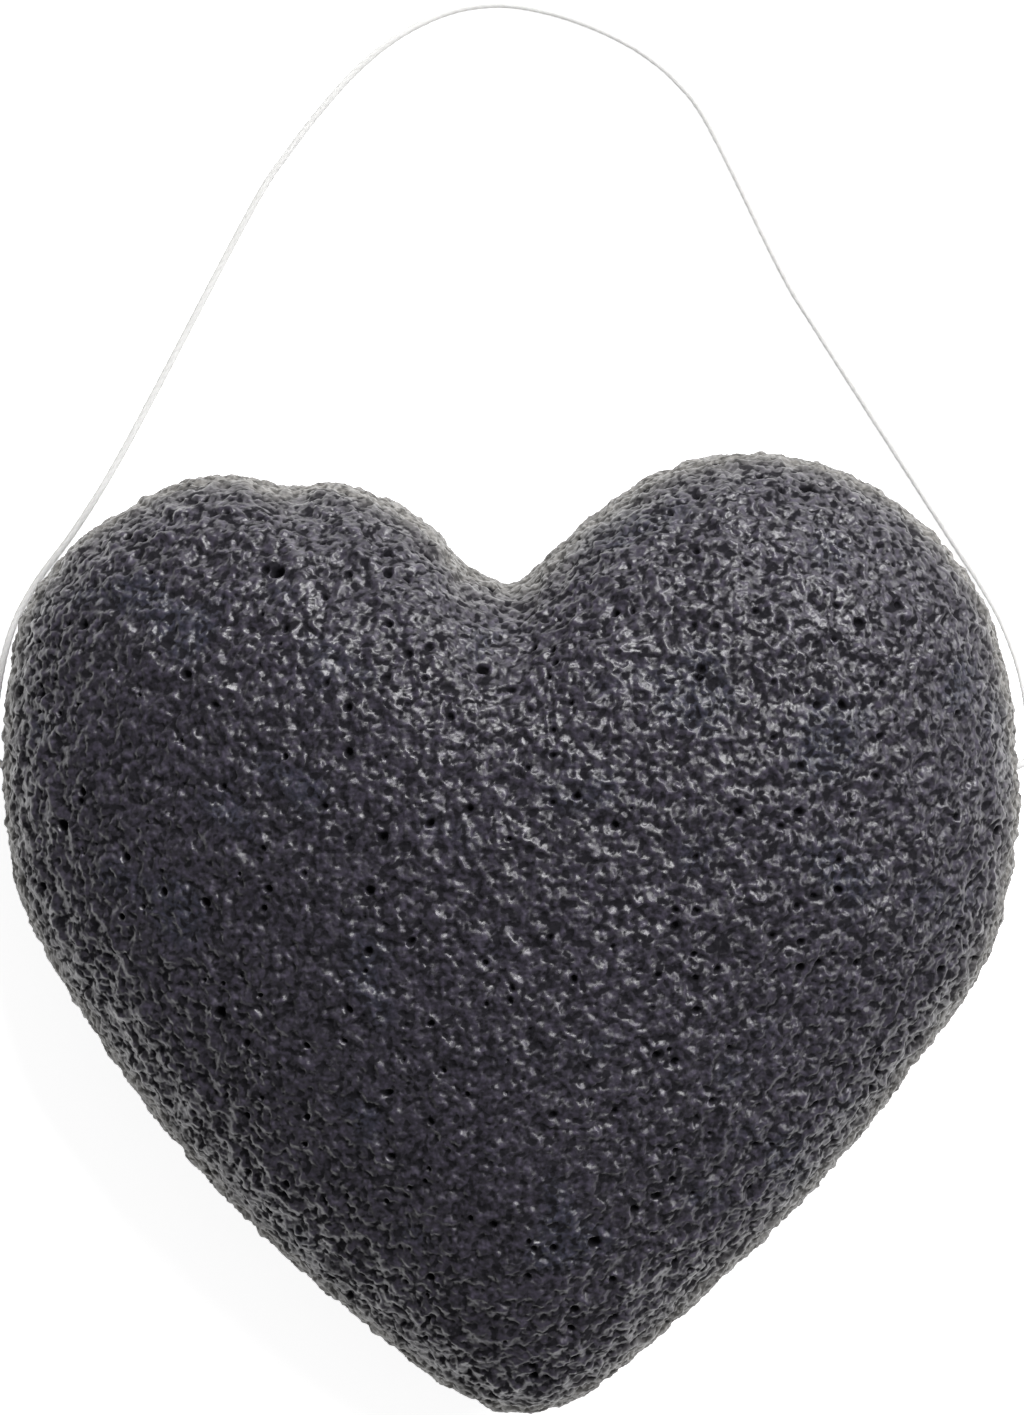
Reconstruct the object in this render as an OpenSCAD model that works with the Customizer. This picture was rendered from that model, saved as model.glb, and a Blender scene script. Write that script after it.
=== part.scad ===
// Heart-shaped konjac sponge with a cotton hanging string, lying on its flat back.
// The domed front is up (+Z), the tip points to -Y and the string's loop lies towards +Y.
// The origin is the middle of the heart's outline, on the surface that the sponge rests on.
// All lengths are in millimetres.

/* [Sponge] */
// Width of the heart across its two lobes
heart_w = 80; // [60:1:90]
// Length of the heart from its lobe tops to its tip
heart_h = 75.3; // [56:0.1:85]
// Thickness from the flat back to the highest point of the front
heart_t = 27; // [20:0.5:34]
// Height of the widest contour above the flat back
belly_z = 10; // [8:0.5:12]
// How far the rounded lower edge draws in under the widest contour
edge_in = 6; // [2:0.5:9]
// Distance that the dome's middle lies above the middle of the outline
crown_y = 6.5; // [3:0.5:9]

/* [String channel] */
// Distance of the channel above the middle of the outline, towards the lobes
channel_y = 13; // [10:0.5:16]
// Height of the channel above the flat back
channel_z = 8.5; // [7:0.5:10]
// Gap round the string in its channel
channel_clearance = 0.1; // [0.05:0.05:0.2]
// Depth of the dimple that the string pulls into the foam at each end of the channel
dimple_depth = 1.5; // [1:0.1:2]
// Width of each dimple at the surface
dimple_w = 5; // [4:0.5:7]

/* [String] */
// Diameter of the twisted cotton string
string_d = 0.6; // [0.4:0.1:0.8]
// Length of the knot, which sits in the middle of the channel
knot_l = 2.6; // [2:0.1:4]
// Diameter of the knot
knot_d = 1.9; // [1.5:0.1:3]
// Gap between the knot and the foam round it
knot_clearance = 0.2; // [0.1:0.05:0.4]

/* [Hidden] */

foam_colour = [0.27, 0.26, 0.29];
string_colour = [0.91, 0.9, 0.87];

// Outline of the heart, anticlockwise from the notch: shares of the heart's width from the middle
// and of its length above the middle. The left lobe has two low bumps with a dent between them.
outline_shares = [
    [-0.005, 0.368],
    [-0.044, 0.387],
    [-0.08, 0.427],
    [-0.12, 0.453],
    [-0.174, 0.472],
    [-0.222, 0.467],
    [-0.275, 0.479],
    [-0.345, 0.463],
    [-0.418, 0.418],
    [-0.447, 0.388],
    [-0.474, 0.349],
    [-0.49, 0.3],
    [-0.5, 0.19],
    [-0.494, 0.097],
    [-0.465, -0.007],
    [-0.383, -0.145],
    [-0.27, -0.289],
    [-0.12, -0.429],
    [-0.051, -0.482],
    [0.005, -0.5],
    [0.062, -0.487],
    [0.142, -0.424],
    [0.291, -0.276],
    [0.405, -0.128],
    [0.472, -0.018],
    [0.496, 0.086],
    [0.5, 0.165],
    [0.485, 0.283],
    [0.453, 0.37],
    [0.388, 0.444],
    [0.311, 0.486],
    [0.233, 0.5],
    [0.152, 0.484],
    [0.082, 0.44],
    [0.038, 0.398],
    [0.015, 0.375]
];
// Points that the smooth outline takes between one listed point and the next
outline_steps = 2;
// Neighbours on each side whose mean gives the rounder outline near the crown
soften_reach = 7;
// Rings from the flat back up to the widest contour, and from there up to the crown
edge_rings = 4;
dome_rings = 12;
// Exponents of the dome's reach and rise, above and below 1 for fuller shoulders
reach_power = 0.92;
rise_power = 0.9;

// Free stretch of the string, from the left end of the channel to the right end. It drops to the
// surface beside each lobe and lies there in one wide arch. The two ends are worked out below.
route = [
    [-39.75, 13.1, 8.4],
    [-40.25, 13.4, 8.2],
    [-40.55, 13.9, 7.9],
    [-40.65, 14.6, 7.4],
    [-40.65, 15.6, 6.7],
    [-40.5, 17.8, 5.3],
    [-40.1, 20.6, 3.4],
    [-39.5, 23.1, 2],
    [-38.6, 25.4, 1],
    [-37, 28.1, 0.45],
    [-34.6, 31.3, 0.3],
    [-31.6, 36, 0.3],
    [-28, 42.6, 0.3],
    [-20.3, 57.2, 0.3],
    [-17.4, 61.6, 0.3],
    [-14.6, 65.2, 0.3],
    [-11.6, 68.4, 0.3],
    [-8.4, 70.8, 0.3],
    [-4.6, 72.5, 0.3],
    [-0.8, 73, 0.3],
    [3, 72.4, 0.3],
    [6.8, 71.1, 0.3],
    [10.2, 69.3, 0.3],
    [13.1, 66.9, 0.3],
    [15.7, 63.3, 0.3],
    [21.2, 52.2, 0.3],
    [24.2, 47.2, 0.3],
    [34.6, 31, 0.3],
    [36.7, 27.8, 0.45],
    [38.2, 25.2, 1],
    [39.2, 22.9, 2],
    [40, 20.4, 3.4],
    [40.5, 17.7, 5.3],
    [40.65, 15.6, 6.7],
    [40.65, 14.6, 7.4],
    [40.55, 13.9, 7.9],
    [40.25, 13.4, 8.2],
    [39.75, 13.1, 8.4]
];
string_sides = 8;
// Stretches of the route longer than this many diameters take one more ring halfway
long_stretch = 4;
// Radius of the knot's core, as a share of the knot's diameter
knot_core_share = 0.37;

string_r = string_d / 2;
channel_r = string_r + channel_clearance;
exit_x = heart_w / 2 - dimple_depth;
dimple_r = (dimple_w * dimple_w / 4 + dimple_depth * dimple_depth) / (2 * dimple_depth);
crown = [0, crown_y];
round_fn = 48;

// Point a share t of the way from b to c, on a smooth curve through a, b, c and d
function on_curve(a, b, c, d, t) =
    0.5 * (2 * b + (c - a) * t + (2 * a - 5 * b + 4 * c - d) * t * t + (3 * b - a - 3 * c + d) * t * t * t);

function unit(v) = v / norm(v);

// The closed outline in shares, then stretched so that it measures heart_w by heart_h exactly
outline_count = len(outline_shares) * outline_steps;
function listed(i) = outline_shares[(i + len(outline_shares)) % len(outline_shares)];
raw_outline = [
    for (i = [0 : len(outline_shares) - 1])
        for (k = [0 : outline_steps - 1])
            on_curve(listed(i - 1), listed(i), listed(i + 1), listed(i + 2), k / outline_steps)
];
raw_x = [for (p = raw_outline) p[0]];
raw_y = [for (p = raw_outline) p[1]];
function spread(v, size, length) = (v - (min(size) + max(size)) / 2) / (max(size) - min(size)) * length;
outline = [for (p = raw_outline) [spread(p[0], raw_x, heart_w), spread(p[1], raw_y, heart_h)]];

// A rounder outline with a shallow notch, which the rings near the crown take on
function neighbours(i) = [
    for (k = [-soften_reach : soften_reach]) outline[(i + k + outline_count) % outline_count]
];
function sum(list, i = 0) = i == len(list) ? [0, 0] : list[i] + sum(list, i + 1);
soft_outline = [for (i = [0 : outline_count - 1]) sum(neighbours(i)) / (2 * soften_reach + 1)];

// One ring: the outline drawn in towards the crown by a share, at a height
function ring(reach, z) = [
    for (i = [0 : outline_count - 1])
        let (mixed = outline[i] * reach + soft_outline[i] * (1 - reach))
        let (p = crown + (mixed - crown) * reach)
        [p[0], p[1], z]
];
function edge_ring(angle) =
    ring(1 - edge_in * (1 - cos(angle)) / (heart_w / 2), belly_z * (1 - sin(angle)));
function dome_ring(angle) =
    ring(pow(cos(angle), reach_power), belly_z + (heart_t - belly_z) * pow(sin(angle), rise_power));

// Domed heart with a flat back, as one closed skin of triangles
module heart_solid() {
    rings = concat(
        [for (k = [0 : edge_rings - 1]) edge_ring(90 * (1 - k / edge_rings))],
        [for (k = [0 : dome_rings - 1]) dome_ring(90 * k / dome_rings)]
    );
    n = outline_count;
    back = len(rings) * n;
    top = back + 1;
    points = concat(
        [for (r = rings) for (p = r) p],
        [[crown[0], crown[1], 0], [crown[0], crown[1], heart_t]]
    );
    faces = concat(
        [for (i = [0 : n - 1]) [back, i, (i + 1) % n]],
        [
            for (k = [0 : len(rings) - 2])
                for (i = [0 : n - 1])
                    for (half = [0, 1])
                        let (j = (i + 1) % n)
                        half == 0
                            ? [k * n + i, (k + 1) * n + i, (k + 1) * n + j]
                            : [k * n + i, (k + 1) * n + j, k * n + j]
        ],
        [for (i = [0 : n - 1]) [top, (len(rings) - 1) * n + (i + 1) % n, (len(rings) - 1) * n + i]]
    );
    polyhedron(points, faces);
}

// Lays what is built along Z along the channel instead, centred on it
module along_channel() {
    translate([0, channel_y, channel_z])
        rotate([0, 90, 0])
            children();
}

// Foam heart with the string's channel, a pocket for the knot and a dimple at each end
module sponge_body() {
    color(foam_colour)
        difference() {
            heart_solid();
            along_channel()
                cylinder(h = heart_w, r = channel_r, center = true, $fn = round_fn);
            along_channel()
                cylinder(
                    h = knot_l + 2 * knot_clearance,
                    d = knot_d + 2 * knot_clearance,
                    center = true,
                    $fn = round_fn
                );
            for (side = [-1, 1])
                translate([side * (exit_x + dimple_r), channel_y, channel_z])
                    sphere(r = dimple_r, $fn = round_fn);
        }
}

// Straight stretch of string in the foam, from the knot's end to the bottom of a dimple
module inner_string(side) {
    color(string_colour)
        translate([0, channel_y, channel_z])
            rotate([0, side * 90, 0])
                translate([0, 0, knot_l / 2])
                    cylinder(h = exit_x - knot_l / 2, r = string_r, $fn = round_fn);
}

// Knot that ties the string into a loop: three snug turns on a core
module string_knot() {
    turns = 3;
    turn_d = knot_l / turns;
    color(string_colour)
        along_channel() {
            cylinder(h = knot_l, r = string_r, center = true, $fn = round_fn);
            cylinder(h = knot_l - turn_d, r = knot_d * knot_core_share, center = true, $fn = round_fn);
            for (k = [0 : turns - 1])
                translate([0, 0, (k + 0.5) * turn_d - knot_l / 2])
                    rotate_extrude($fn = round_fn)
                        translate([(knot_d - turn_d) / 2, 0])
                            circle(d = turn_d);
        }
}

// Free loop of string, swept along the route with each end straight and square to its exit
module hanging_loop() {
    left_exit = [-exit_x, channel_y, channel_z];
    right_exit = [exit_x, channel_y, channel_z];
    straight = [string_d, 0, 0];
    stops = concat([left_exit - straight], route, [right_exit + straight]);
    last_stop = len(stops) - 1;
    function stop(i) = stops[min(max(i, 0), last_stop)];
    function is_long(i) = norm(stop(i + 1) - stop(i)) > long_stretch * string_d;
    path = concat(
        [left_exit],
        [
            for (i = [0 : last_stop - 1])
                for (t = is_long(i) ? [0, 0.5] : [0])
                    on_curve(stop(i - 1), stop(i), stop(i + 1), stop(i + 2), t)
        ],
        [stops[last_stop], right_exit]
    );
    last = len(path) - 1;
    function heading(i) =
        i < 2 || i > last - 2 ? [-1, 0, 0] : unit(path[i + 1] - path[i - 1]);
    points = [
        for (i = [0 : last])
            let (side = unit(cross(heading(i), [0, 0, 1])))
            let (up = cross(side, heading(i)))
            for (k = [0 : string_sides - 1])
                let (angle = 360 * (k + 0.5) / string_sides)
                path[i] + string_r * (cos(angle) * side + sin(angle) * up)
    ];
    faces = concat(
        [[for (k = [string_sides - 1 : -1 : 0]) k]],
        [
            for (i = [0 : last - 1])
                for (k = [0 : string_sides - 1])
                    for (half = [0, 1])
                        let (a = i * string_sides + k)
                        let (b = i * string_sides + (k + 1) % string_sides)
                        half == 0 ? [a, b + string_sides, a + string_sides] : [a, b, b + string_sides]
        ],
        [[for (k = [0 : string_sides - 1]) last * string_sides + k]]
    );
    color(string_colour)
        polyhedron(points, faces);
}

module inner_string_left() {
    inner_string(-1);
}

module inner_string_right() {
    inner_string(1);
}

sponge_body();
hanging_loop();
inner_string_left();
inner_string_right();
string_knot();
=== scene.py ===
import math

import bpy
import numpy as np
from bpy.props import FloatProperty, FloatVectorProperty, IntProperty, PointerProperty
from bpy.types import Operator, Panel, PropertyGroup
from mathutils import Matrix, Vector


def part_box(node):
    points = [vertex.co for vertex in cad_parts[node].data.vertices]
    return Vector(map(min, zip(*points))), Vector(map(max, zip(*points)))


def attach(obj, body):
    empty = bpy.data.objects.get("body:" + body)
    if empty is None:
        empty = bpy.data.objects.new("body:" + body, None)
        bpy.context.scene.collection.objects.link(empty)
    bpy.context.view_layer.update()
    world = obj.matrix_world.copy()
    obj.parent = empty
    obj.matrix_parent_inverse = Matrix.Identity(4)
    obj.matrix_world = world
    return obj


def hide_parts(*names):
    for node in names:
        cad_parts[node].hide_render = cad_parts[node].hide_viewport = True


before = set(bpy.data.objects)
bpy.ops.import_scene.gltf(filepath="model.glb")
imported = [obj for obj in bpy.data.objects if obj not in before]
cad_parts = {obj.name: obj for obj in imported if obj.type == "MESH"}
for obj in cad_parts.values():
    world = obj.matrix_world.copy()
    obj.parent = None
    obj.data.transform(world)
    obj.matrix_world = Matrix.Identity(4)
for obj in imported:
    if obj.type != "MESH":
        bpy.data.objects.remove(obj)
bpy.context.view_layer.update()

FOAM_LOW, FOAM_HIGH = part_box("sponge_body")
LEFT_RUN_LOW, LEFT_RUN_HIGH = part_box("inner_string_left")
KNOT_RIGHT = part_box("string_knot")[1][0]
# The string's channel runs along X through the foam, at this y and z
CHANNEL_YZ = [(LEFT_RUN_LOW[k] + LEFT_RUN_HIGH[k]) / 2 for k in (1, 2)]

bl_info = {
    "name": "Konjac sponge with a hanging string",
    "version": (1, 0, 0),
    "blender": (4, 5, 0),
    "location": "View3D > Sidebar > Konjac sponge",
    "description": "Builds a heart-shaped konjac sponge, its cotton string and a small studio",
    "category": "Add Mesh",
}

MM = 0.001

# Outline of the heart, anticlockwise from the notch, as the part's source gives it: shares of the
# heart's width from the middle and of its length above the middle.
OUTLINE_SHARES = (
    (-0.005, 0.368), (-0.044, 0.387), (-0.08, 0.427), (-0.12, 0.453), (-0.174, 0.472),
    (-0.222, 0.467), (-0.275, 0.479), (-0.345, 0.463), (-0.418, 0.418), (-0.447, 0.388),
    (-0.474, 0.349), (-0.49, 0.3), (-0.5, 0.19), (-0.494, 0.097), (-0.465, -0.007),
    (-0.383, -0.145), (-0.27, -0.289), (-0.12, -0.429), (-0.051, -0.482), (0.005, -0.5),
    (0.062, -0.487), (0.142, -0.424), (0.291, -0.276), (0.405, -0.128), (0.472, -0.018),
    (0.496, 0.086), (0.5, 0.165), (0.485, 0.283), (0.453, 0.37), (0.388, 0.444),
    (0.311, 0.486), (0.233, 0.5), (0.152, 0.484), (0.082, 0.44), (0.038, 0.398),
    (0.015, 0.375),
)

# Free stretch of the string in millimetres, as the part's source gives it, between its two exits
STRING_ROUTE = (
    (-39.75, 13.1, 8.4), (-40.25, 13.4, 8.2), (-40.55, 13.9, 7.9), (-40.65, 14.6, 7.4),
    (-40.65, 15.6, 6.7), (-40.5, 17.8, 5.3), (-40.1, 20.6, 3.4), (-39.5, 23.1, 2),
    (-38.6, 25.4, 1), (-37, 28.1, 0.45), (-34.6, 31.3, 0.3), (-31.6, 36, 0.3),
    (-28, 42.6, 0.3), (-20.3, 57.2, 0.3), (-17.4, 61.6, 0.3), (-14.6, 65.2, 0.3),
    (-11.6, 68.4, 0.3), (-8.4, 70.8, 0.3), (-4.6, 72.5, 0.3), (-0.8, 73, 0.3),
    (3, 72.4, 0.3), (6.8, 71.1, 0.3), (10.2, 69.3, 0.3), (13.1, 66.9, 0.3),
    (15.7, 63.3, 0.3), (21.2, 52.2, 0.3), (24.2, 47.2, 0.3), (34.6, 31, 0.3),
    (36.7, 27.8, 0.45), (38.2, 25.2, 1), (39.2, 22.9, 2), (40, 20.4, 3.4),
    (40.5, 17.7, 5.3), (40.65, 15.6, 6.7), (40.65, 14.6, 7.4), (40.55, 13.9, 7.9),
    (40.25, 13.4, 8.2), (39.75, 13.1, 8.4),
)

# Stage, in metres but for the sensor in millimetres
SENSOR_WIDTH = 36.0
CLIP_SHARES = (0.1, 4.0)  # near and far limit of the view, as shares of the camera's distance
FLOOR_HALF = 3.0
FLOOR_DROP = 0.00003  # the floor lies this far under the sponge
FLOOR_GLOW = 0.85  # light that only the camera sees, so that the floor reads as white
LAMP_SIZE = 0.6
RIGHT_LAMP_PLACE = (0.75, 0.3, 0.92)
UPPER_LAMP_PLACE = (0.28, 0.85, 0.8)

# Meshes
CURVE_STEPS = 12  # points to each stretch between two points of the string's route
STRING_SPACING = 0.0002  # between the rings of the string
INNER_SPACING = 0.0005  # between the points given for its straight runs in the foam
STRING_SIDES = 18
OUTLINE_STEPS = 10  # points to each stretch between two points of the outline
SOFT_REACH = 7  # stretches over which the dome's rounder outline is averaged
EDGE_RINGS = 24
DOME_RINGS = 110
DOME_REACH_POWER = 0.92  # fullness of the dome's section, outwards
DOME_RISE_POWER = 0.9  # and upwards
LOBE_SIDE = 0.03  # the dimples lie further out than this

# Relief of the foam
PORE_INPUTS = (
    "Fine cell", "Fine depth", "Middle cell", "Middle depth", "Large cell", "Large depth",
    "Lump size", "Lump height", "Crumple size", "Crumple height", "Crumple detail", "Rim relief",
    "Swell size", "Swell height",
)
# Each size of pore: its least and greatest radius as shares of a cell, and the share of the cells
# that have one
PORE_LAYERS = (("Fine", 0.4, 0.85, 1.0), ("Middle", 0.08, 0.30, 0.65), ("Large", 0.05, 0.18, 0.5))
PIT_FLOOR_SHARE = 0.3  # flat floor of a pore, as a share of its radius
PIT_MARGIN = 0.0001  # keeps the wall's range from being empty in a cell without a pore
FULL_PIT_DEPTH = 0.0008  # a pore's painted shade is at its darkest from this depth on
SEED_STEP = (0.173, 0.091, 0.137)  # shift of the whole pattern for each number of the seed
WARP_SCALE = 420.0
WARP_DISTANCE = 0.0008
NOISE_ROUGHNESS = 0.55
NOISE_LEVEL = 0.6  # noise above this stands proud of the smooth heart
# Upward share of the smooth normal: where the rim's deeper creases are full and where they end, and
# where the flat back ends and the side is in full
RIM_SLOPE = (0.12, 0.72)
FLAT_BACK = (-0.95, -0.6)

# Shading of the foam: the noise, facing or depth where each effect starts and where it is full, and
# its share
DRIFT_NOISE = (0.3, 0.7)
FLESH_DRIFT = (0.86, 1.14)
SLOW_SIZE = 0.012
# Painted sheen: a paler rim, and a paler still band at the very edge, mixed into the colour towards
# the edge as it is seen
RIM_FACING = (0.32, 0.88)
RIM_SHEEN_SHARE = 0.75
FRINGE_RIM = (0.5, 1.0)
FRINGE_SHEEN_SHARE = 0.5
NAVY_SCALE = 140.0
NAVY_NOISE = (0.58, 0.72)
NAVY_SHARE = 0.5
# Painted light on the high spots: the crease level where they start turning paler and where they
# are full
PROUD_LIGHT_CREASE = (0.5, 0.72)
FLECK_NOISE = (0.32, 0.68)
HOLLOW_SHADE_SHARES = (0.95, 0.3)  # painted shade in a pinhole: its darkness in the middle of the picture and at the rim
# Painted shade in the pits: the depth share where it starts and where it is full
PIT_SHADE = (0.05, 0.5)
PIT_DULL = (0.1, 0.5)
RIM_WET_SHARE = 0.45

# Shading of the cotton and the roughness of its surface
FIBRE_RUN = 150.0  # how much of the fibres' pattern a metre of string passes through
FIBRE_SCALE = 6.0
FIBRE_NOISE = (0.35, 0.65)
FIBRE_SHADE = 0.2
FIBRE_HEIGHT = 0.00006
GROOVE_SHADE_RANGE = (0.4, 1.0)
GROOVE_SHADE = 0.25
SHADE_TONE = 0.7
COTTON_DRIFT = (0.96, 1.03)
COTTON_SLOW_SIZE = 0.006
COTTON_QUICK_SIZE = 0.0003
COTTON_ROUGHNESS = (0.78, 0.95)
COTTON_DEPTH = 0.0015  # how far light goes through the fibres
FUZZ_SCALE = 1800.0
FUZZ_LEVEL = 0.8
FUZZ_SHARE = 0.12  # height of the fuzz, as a share of the string's radius


# ---- sizes and colours that a user would change ----


class SpongeSizes(PropertyGroup):
    """Shape of the foam heart."""

    width: FloatProperty(
        name="Width", description="Width across the two lobes",
        default=0.08, unit="LENGTH")
    length: FloatProperty(
        name="Length", description="Length from the lobe tops to the tip",
        default=FOAM_HIGH[1] - FOAM_LOW[1], unit="LENGTH")
    thickness: FloatProperty(
        name="Thickness", description="Thickness from the flat back to the crown",
        default=FOAM_HIGH[2] - FOAM_LOW[2], unit="LENGTH")
    belly_height: FloatProperty(
        name="Belly height", description="Height of the widest contour above the back",
        default=0.01, unit="LENGTH")
    edge_in: FloatProperty(
        name="Edge draw-in", description="How far the lower edge draws in under the widest contour",
        default=0.006, unit="LENGTH")
    crown_offset: FloatProperty(
        name="Crown offset", description="Distance of the crown above the middle of the outline",
        default=0.0065, unit="LENGTH")
    dimple_depth: FloatProperty(
        name="Dimple depth", description="Depth of the dimple where the string enters",
        default=0.0015, unit="LENGTH")
    dimple_width: FloatProperty(
        name="Dimple width", description="Width of that dimple at the surface",
        default=0.005, unit="LENGTH")
    grain_size: FloatProperty(
        name="Mesh grain", description="Edge length of the foam's mesh",
        default=0.000132, unit="LENGTH")


class PoreSettings(PropertyGroup):
    """Pores and lumps of the foam's skin."""

    fine_cell: FloatProperty(
        name="Fine cell", description="Spacing of the fine pores", default=0.0007, unit="LENGTH")
    fine_depth: FloatProperty(
        name="Fine depth", description="Depth of the fine pores", default=0.00012, unit="LENGTH")
    middle_cell: FloatProperty(
        name="Middle cell", description="Spacing of the middle pores",
        default=0.0016, unit="LENGTH")
    middle_depth: FloatProperty(
        name="Middle depth", description="Depth of the middle pores", default=0.0007, unit="LENGTH")
    large_cell: FloatProperty(
        name="Large cell", description="Spacing of the large pores", default=0.0042, unit="LENGTH")
    large_depth: FloatProperty(
        name="Large depth", description="Depth of the large pores", default=0.0012, unit="LENGTH")
    lump_size: FloatProperty(
        name="Lump size", description="Size of the soft lumps", default=0.0015, unit="LENGTH")
    lump_height: FloatProperty(
        name="Lump height", description="Height of the soft lumps", default=0.0009, unit="LENGTH")
    crumple_size: FloatProperty(
        name="Crumple size", description="Size of the fine creases of the skin",
        default=0.00058, unit="LENGTH")
    crumple_height: FloatProperty(
        name="Crumple height", description="Height of those creases",
        default=0.00036, unit="LENGTH")
    crumple_detail: FloatProperty(
        name="Crumple detail", description="Finer creases within the creases", default=1.6, min=0.0)
    rim_relief: FloatProperty(
        name="Rim relief", description="How much deeper the creases are at the rim",
        default=0.35, min=0.0)
    swell_size: FloatProperty(
        name="Swell size", description="Size of the broad swells", default=0.011, unit="LENGTH")
    swell_height: FloatProperty(
        name="Swell height", description="Height of the broad swells",
        default=0.0006, unit="LENGTH")
    seed: IntProperty(name="Seed", description="Pattern of the pores", default=7)


class FoamFinish(PropertyGroup):
    """Colours of the charcoal foam."""

    flesh: FloatVectorProperty(
        name="Flesh", description="Colour of the foam between the pores",
        default=(0.0262, 0.0224, 0.0340), size=3, subtype="COLOR")
    # Painted shade: this dark colour is mixed into the pinholes and the pits
    pit: FloatVectorProperty(
        name="Pit", description="Colour at the bottom of the pores",
        default=(0.0070, 0.0062, 0.0092), size=3, subtype="COLOR")
    # Painted sheen: mixed in towards the edge as it is seen
    rim: FloatVectorProperty(
        name="Rim", description="Colour of the thin, light-catching rim",
        default=(0.118, 0.114, 0.106), size=3, subtype="COLOR")
    # Painted sheen at the very edge as it is seen
    fringe_sheen: FloatVectorProperty(
        name="Fringe", description="Colour of the thin cell walls at the very edge",
        default=(0.25, 0.24, 0.222), size=3, subtype="COLOR")
    navy: FloatVectorProperty(
        name="Navy", description="Colour of the faint bluish patches",
        default=(0.020, 0.024, 0.042), size=3, subtype="COLOR")
    # Painted light: the high spots of the creases are made paler
    proud: FloatProperty(
        name="Proud", description="How much paler the high spots are than the flesh",
        default=1.8, min=0.0)
    fleck_size: FloatProperty(
        name="Fleck size", description="Size of the paler and darker flecks of the flesh",
        default=0.00042, unit="LENGTH")
    fleck_contrast: FloatProperty(
        name="Fleck contrast", description="How much the flecks differ, as a share of the flesh",
        default=0.5, min=0.0, max=1.0)
    patch_size: FloatProperty(
        name="Patch size", description="Size of the wetter and drier patches",
        default=0.0028, unit="LENGTH")
    wet_least: FloatProperty(
        name="Least wet", description="Share of wet gloss on the driest patches",
        default=0.35, min=0.0, max=1.0)
    wet_most: FloatProperty(
        name="Most wet", description="Share of wet gloss on the wettest patches",
        default=1.0, min=0.0, max=1.0)
    wet_roughness: FloatProperty(
        name="Wet roughness", description="Roughness of the skin on the wettest patches",
        default=0.36, min=0.0, max=1.0)
    dull_roughness: FloatProperty(
        name="Dull roughness", description="Roughness of the skin on the driest patches",
        default=0.5, min=0.0, max=1.0)
    pit_roughness: FloatProperty(
        name="Pit roughness", description="Roughness inside the pits and pinholes",
        default=0.95, min=0.0, max=1.0)
    gloss: FloatProperty(
        name="Gloss", description="Strength of the skin's gloss", default=0.3, min=0.0, max=1.0)
    coat_roughness: FloatProperty(
        name="Coat roughness", description="Roughness of the film of water on the skin",
        default=0.31, min=0.0, max=1.0)
    grit_size: FloatProperty(
        name="Grit size", description="Size of the finest grit on the skin",
        default=0.0005, unit="LENGTH")
    grit_height: FloatProperty(
        name="Grit height", description="Height of that grit", default=0.00012, unit="LENGTH")
    hole_edge: FloatProperty(
        name="Pinhole edge", description="How softly a pinhole's edge fades",
        default=0.07, min=0.001)
    hole_share: FloatProperty(
        name="Pinholes", description="Level of the creases under which a dull pinhole starts",
        default=0.455, min=0.0, max=1.0)


class StringSettings(PropertyGroup):
    """Cotton string."""

    diameter: FloatProperty(
        name="Diameter", description="Diameter of the twisted string",
        default=LEFT_RUN_HIGH[2] - LEFT_RUN_LOW[2], unit="LENGTH")
    plies: IntProperty(
        name="Plies", description="Strands twisted together", default=3, min=2, max=6)
    twist: FloatProperty(
        name="Twist", description="Length of one full turn of a strand",
        default=0.0024, unit="LENGTH")
    groove: FloatProperty(
        name="Groove", description="Depth of the grooves between strands, as a share of the radius",
        default=0.14, min=0.0, max=0.5)
    colour: FloatVectorProperty(
        name="Colour", description="Colour of the cotton",
        default=(0.87, 0.86, 0.825), size=3, subtype="COLOR")


class StudioSettings(PropertyGroup):
    """Camera, floor and light."""

    lens: FloatProperty(
        name="Lens", description="Focal length in millimetres", default=800.0, min=50.0)
    view_height: FloatProperty(
        name="View height", description="Height of the picture at the sponge",
        default=0.11098, unit="LENGTH")
    view_centre: FloatVectorProperty(
        name="View centre", description="Point that the camera looks at",
        default=(0.00004, 0.01769, 0.008), size=3, subtype="TRANSLATION")
    right_strength: FloatProperty(
        name="Right lamp", description="Power of the lamp on the right in watts",
        default=7.0, min=0.0)
    upper_strength: FloatProperty(
        name="Upper lamp", description="Power of the lamp beyond the lobes in watts",
        default=14.0, min=0.0)
    sky_strength: FloatProperty(
        name="Sky", description="Strength of the even light from all round", default=0.17, min=0.0)


# ---- short ways to place nodes ----


def feed(tree, socket, value):
    """Links a socket to another, or gives it a plain value."""
    if isinstance(value, bpy.types.NodeSocket):
        tree.links.new(value, socket)
    elif socket.type == "RGBA" and len(value) == 3:
        socket.default_value = (*value, 1.0)
    else:
        socket.default_value = value


def put(tree, kind, inputs=None, **settings):
    """Places one node with its settings and inputs, and returns it."""
    node = tree.nodes.new(kind)
    for name, value in settings.items():
        setattr(node, name, value)
    for name, value in (inputs or {}).items():
        feed(tree, node.inputs[name], value)
    return node


def calc(tree, operation, *values, clamp=False):
    """One Math node; returns its output."""
    node = put(tree, "ShaderNodeMath", operation=operation, use_clamp=clamp)
    for socket, value in zip(node.inputs, values):
        feed(tree, socket, value)
    return node.outputs[0]


def vector_calc(tree, operation, *values, **named):
    """One Vector Math node; returns its output."""
    node = put(tree, "ShaderNodeVectorMath", operation=operation)
    for socket, value in zip(node.inputs, values):
        feed(tree, socket, value)
    for name, value in named.items():
        feed(tree, node.inputs[name.capitalize()], value)
    return node.outputs[0]


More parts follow.
